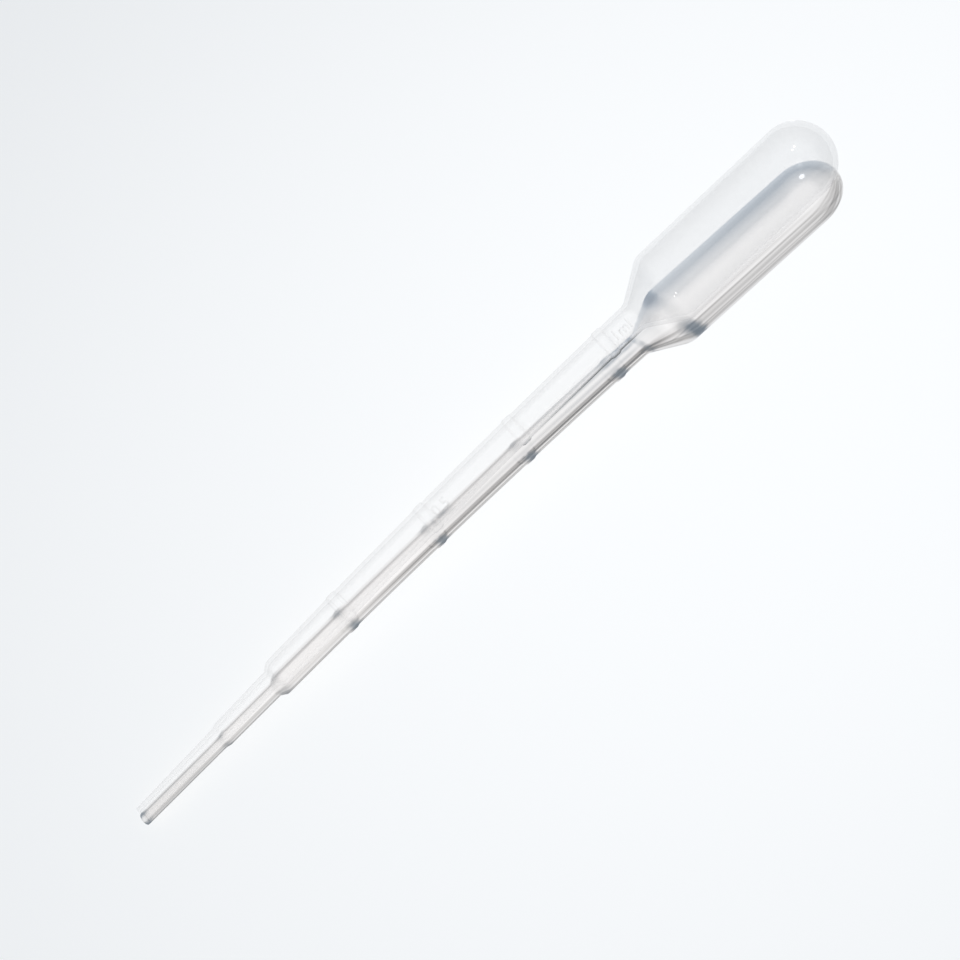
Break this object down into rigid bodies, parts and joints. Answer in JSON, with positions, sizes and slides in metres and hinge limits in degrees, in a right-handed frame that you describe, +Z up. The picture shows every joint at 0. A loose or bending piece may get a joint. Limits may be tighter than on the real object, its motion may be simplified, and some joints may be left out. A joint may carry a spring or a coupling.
{
  "type": "dropper pipette",
  "caption": "One-piece squeezable plastic dropper pipette: narrow stepped tip, graduated stem with raised bands, cone shoulder and hollow round-ended bulb.",
  "frame": {"origin": "on the table under the middle of the resting part's footprint box", "axes": "+Z up from the table the part lies on, +X from the tip towards the bulb, +Y to the left of that; the slight bow lies in the horizontal plane with its hollow side towards -Y"},
  "size_m": [0.1548, 0.0142, 0.0146],
  "materials": {
    "clear_plastic": "soft translucent low-density polyethylene, faintly milky, semi-gloss"
  },
  "bodies": {
    "root": {"pipette": "clear_plastic"}
  },
  "joints": []
}
